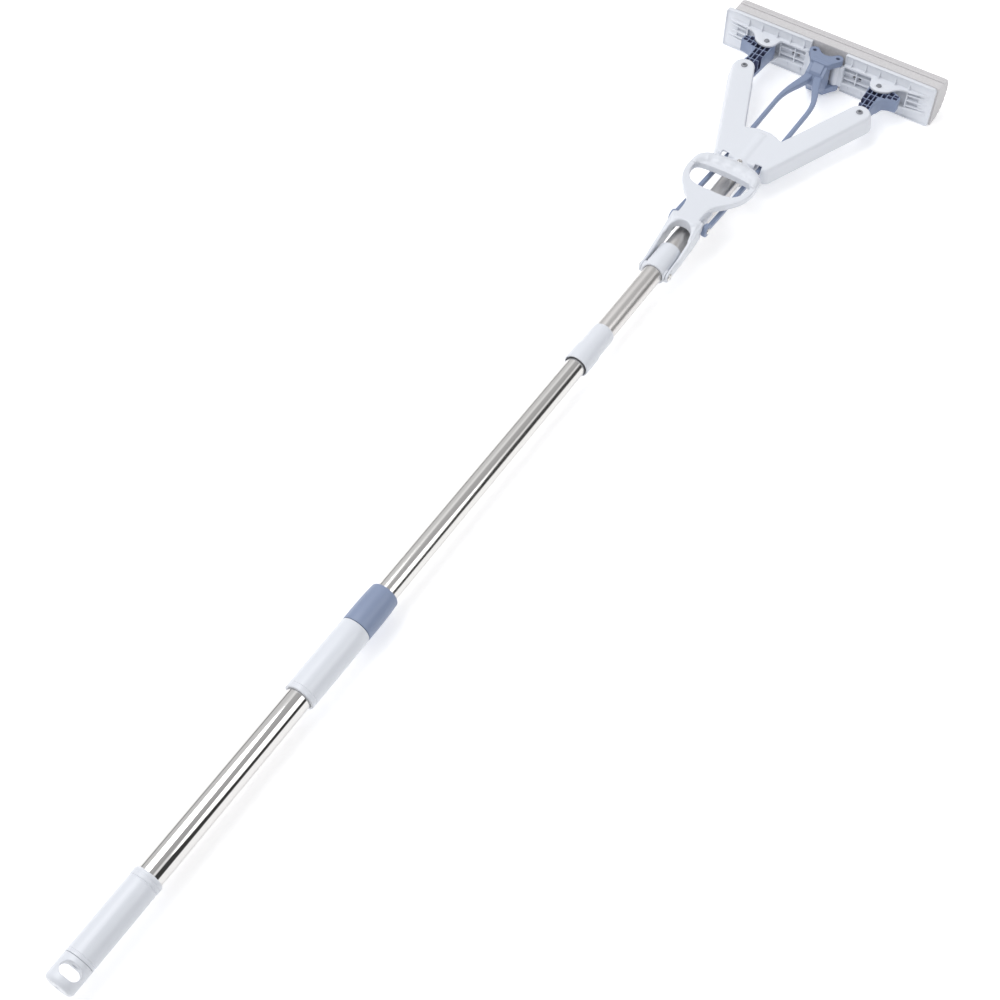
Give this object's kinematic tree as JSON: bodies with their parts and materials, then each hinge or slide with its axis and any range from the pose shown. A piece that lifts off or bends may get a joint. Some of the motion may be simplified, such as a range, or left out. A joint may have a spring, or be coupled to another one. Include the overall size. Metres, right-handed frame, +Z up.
{
  "type": "folding sponge mop",
  "caption": "Flat sponge mop with a telescopic steel pole and a squeeze lever that folds the head's hinged plates to wring the sponge.",
  "frame": {"origin": "middle of the flat lower side of the sponge's middle, where the head rests when the mop lies down", "axes": "+Y along the pole from the grip to the head, +X to the right across the head, +Z up, away from the surface, on the lever's side"},
  "size_m": [0.272, 1.353, 0.058],
  "materials": {
    "white_plastic": "smooth glossy moulded",
    "frame_plastic": "satin moulded",
    "slate_plastic": "satin moulded",
    "navy_plastic": "satin moulded",
    "chrome": "mirror polished",
    "satin_steel": "satin, faint draw marks along the tube",
    "sponge": "fine open-cell foam"
  },
  "bodies": {
    "root": {"inner_tube": "chrome", "tube_guide": "slate_plastic", "joint_plug": "slate_plastic", "joint_collar": "white_plastic", "head_tube": "satin_steel", "head_tube_plug": "slate_plastic", "lever_bracket": "white_plastic", "lever_screw_left": "chrome", "lever_screw_right": "chrome", "v_frame": "frame_plastic", "hub_screw": "chrome", "arm_pin_left": "chrome", "arm_pin_right": "chrome"},
    "grip_pole": {"outer_tube": "chrome", "grip": "white_plastic", "hang_cap": "white_plastic", "grip_sleeve": "white_plastic", "lock_collet": "frame_plastic"},
    "twist_lock": {"twist_lock": "slate_plastic"},
    "lever": {"lever": "white_plastic"},
    "puller": {"centre_bracket": "slate_plastic", "rod_front_left": "slate_plastic", "rod_front_right": "slate_plastic", "hinge_pin_left": "chrome", "hinge_pin_right": "chrome", "sponge_middle": "sponge"},
    "rod_tails": {"rod_tail_left": "slate_plastic", "rod_tail_right": "slate_plastic", "rod_rivet_left": "chrome", "rod_rivet_right": "chrome"},
    "plate_left": {"plate_left": "frame_plastic", "ear_rivet_upper_left": "chrome", "ear_rivet_lower_left": "chrome", "sponge_left": "sponge", "sponge_anchor_left": "navy_plastic"},
    "plate_right": {"plate_right": "frame_plastic", "ear_rivet_upper_right": "chrome", "ear_rivet_lower_right": "chrome", "sponge_right": "sponge", "sponge_anchor_right": "navy_plastic"},
    "link_left": {"link_left": "navy_plastic", "link_bush_left": "chrome"},
    "link_right": {"link_right": "navy_plastic", "link_bush_right": "chrome"}
  },
  "joints": [
    {"name": "telescope", "type": "slide", "parent": "root", "child": "grip_pole", "axis": [0, 1, 0], "range_m": [0, 0.28]},
    {"name": "lock_turn", "type": "hinge", "parent": "grip_pole", "child": "twist_lock", "pos_m": [0, -0.938, 0.027], "axis": [0, 1, 0], "range_deg": [0, 90]},
    {"name": "lever_swing", "type": "hinge", "parent": "root", "child": "lever", "pos_m": [0, -0.409, 0.027], "axis": [1, 0, 0], "range_deg": [0, 77.82], "deforming": ["sponge_left", "sponge_right", "sponge_middle"]},
    {"name": "pull", "type": "slide", "parent": "root", "child": "puller", "axis": [0, -1, 0], "range_m": [0, 0.0828]},
    {"name": "rod_flex", "type": "hinge", "parent": "puller", "child": "rod_tails", "pos_m": [0, -0.163, 0.027], "axis": [-1, 0, 0], "range_deg": [0, 20.31]},
    {"name": "fold_left", "type": "hinge", "parent": "puller", "child": "plate_left", "pos_m": [-0.015, -0.018, 0.027], "axis": [0, 0, -1], "range_deg": [0, 80.02]},
    {"name": "fold_right", "type": "hinge", "parent": "puller", "child": "plate_right", "pos_m": [0.015, -0.018, 0.027], "axis": [0, 0, 1], "range_deg": [0, 80.02]},
    {"name": "link_turn_left", "type": "hinge", "parent": "root", "child": "link_left", "pos_m": [-0.074, -0.0795, 0.027], "axis": [0, 0, -1], "range_deg": [0, 48.6]},
    {"name": "link_turn_right", "type": "hinge", "parent": "root", "child": "link_right", "pos_m": [0.074, -0.0795, 0.027], "axis": [0, 0, 1], "range_deg": [0, 48.6]}
  ],
  "couplings": [
    {"joint": "pull", "follows": "lever_swing", "m_per_rad": 0.060938},
    {"joint": "rod_flex", "follows": "lever_swing", "ratio": 0.2607},
    {"joint": "fold_left", "follows": "lever_swing", "ratio": 1.028},
    {"joint": "fold_right", "follows": "lever_swing", "ratio": 1.028},
    {"joint": "link_turn_left", "follows": "lever_swing", "ratio": 0.6244},
    {"joint": "link_turn_right", "follows": "lever_swing", "ratio": 0.6244}
  ]
}
